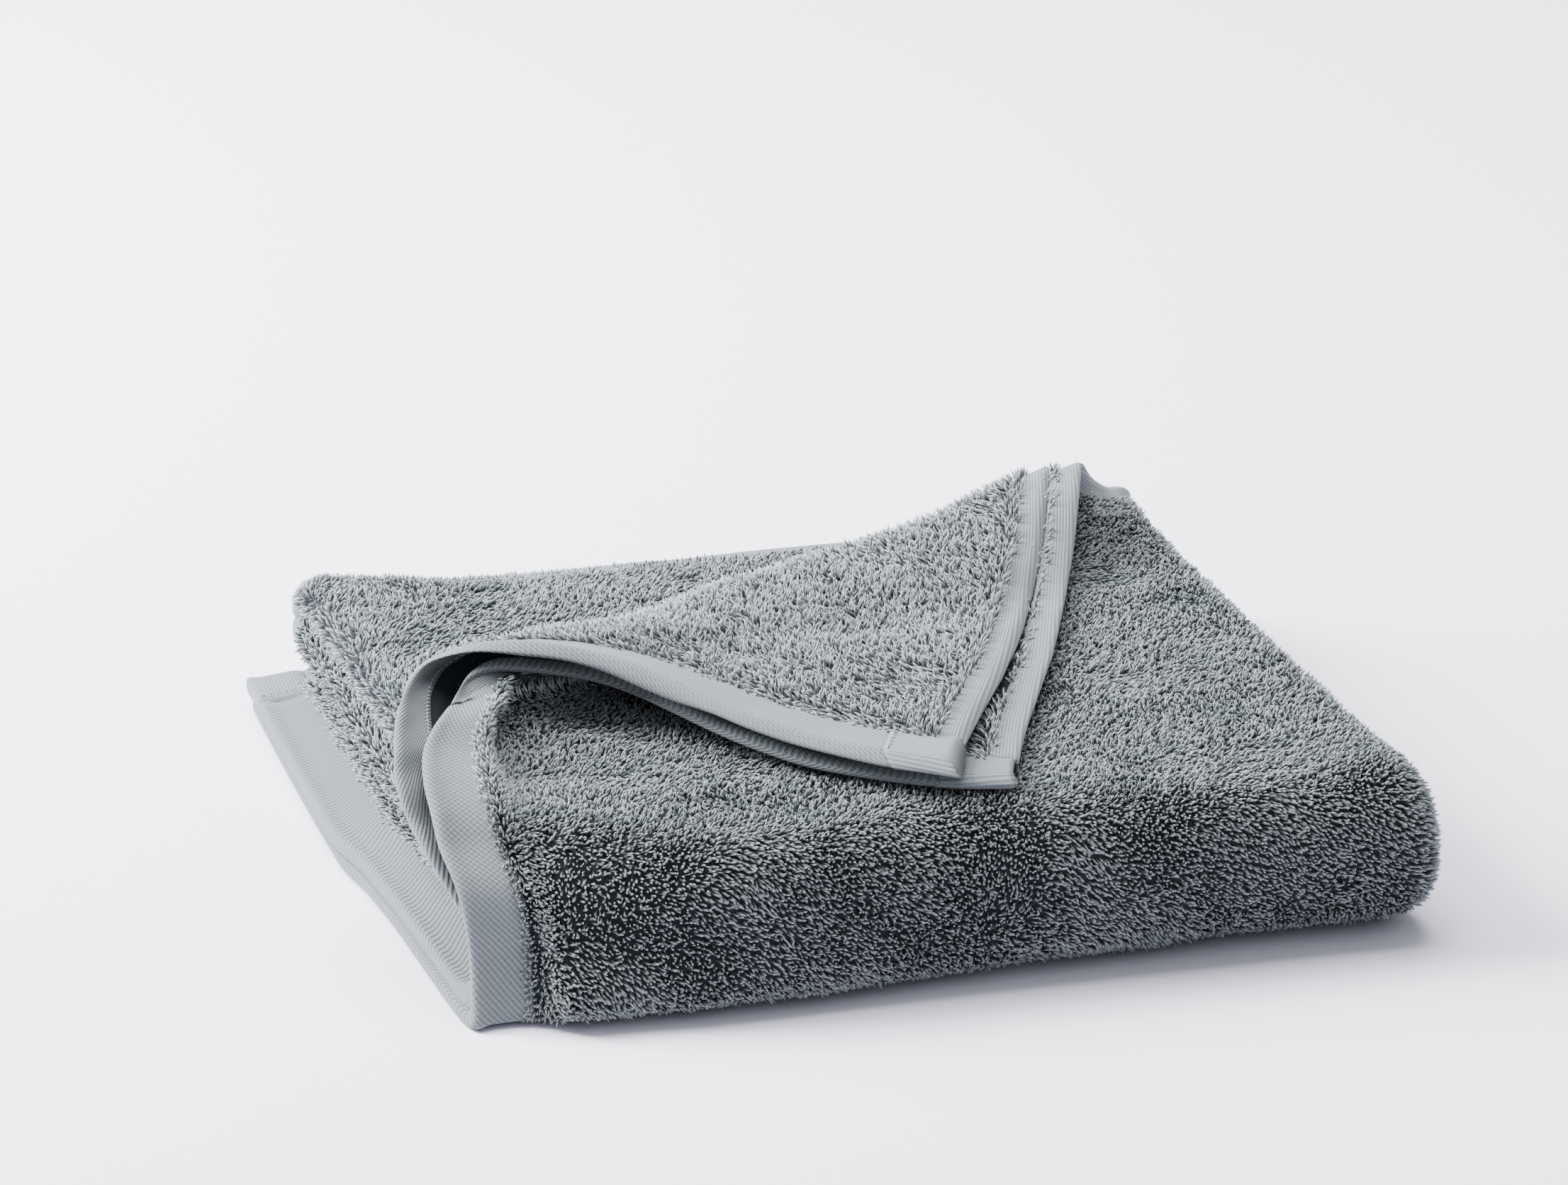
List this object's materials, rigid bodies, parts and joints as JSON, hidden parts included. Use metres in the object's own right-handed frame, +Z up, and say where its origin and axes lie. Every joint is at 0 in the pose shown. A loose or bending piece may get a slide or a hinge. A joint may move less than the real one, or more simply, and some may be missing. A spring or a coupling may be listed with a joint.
{
  "type": "folded bath towel",
  "caption": "Plush terry bath towel folded into a flat block, with twill end hems, narrow side hems and the corner of its top layers turned over.",
  "frame": {"origin": "centre of the folded block's bounding box, on the surface that it lies on", "axes": "+X along the front fold, to the right; +Y from the front fold towards the open side edges at the back; +Z up, away from the surface"},
  "size_m": [0.3956, 0.409, 0.0916],
  "materials": {
    "terry_pile": "long twisted cotton pile, matt",
    "ground_weave": "plain woven cotton ground, matt",
    "end_hem_twill": "woven cotton twill, matt",
    "side_hem_plain_weave": "plain woven cotton, matt",
    "sewing_thread": "cotton-wrapped sewing thread"
  },
  "bodies": {
    "root": {"ground_cloth": "ground_weave", "face_pile": "terry_pile", "back_pile": "terry_pile", "end_hem_outer": "end_hem_twill", "end_hem_outer_stitching": "sewing_thread", "hem_corner_outer_turned": "side_hem_plain_weave", "hem_corner_outer_under": "side_hem_plain_weave", "end_hem_inner": "end_hem_twill", "end_hem_inner_stitching": "sewing_thread", "hem_corner_inner_turned": "side_hem_plain_weave", "hem_corner_inner_under": "side_hem_plain_weave", "side_hem_top": "side_hem_plain_weave", "side_hem_top_stitching": "sewing_thread", "side_hem_under": "side_hem_plain_weave", "side_hem_under_stitching": "sewing_thread"}
  },
  "joints": []
}
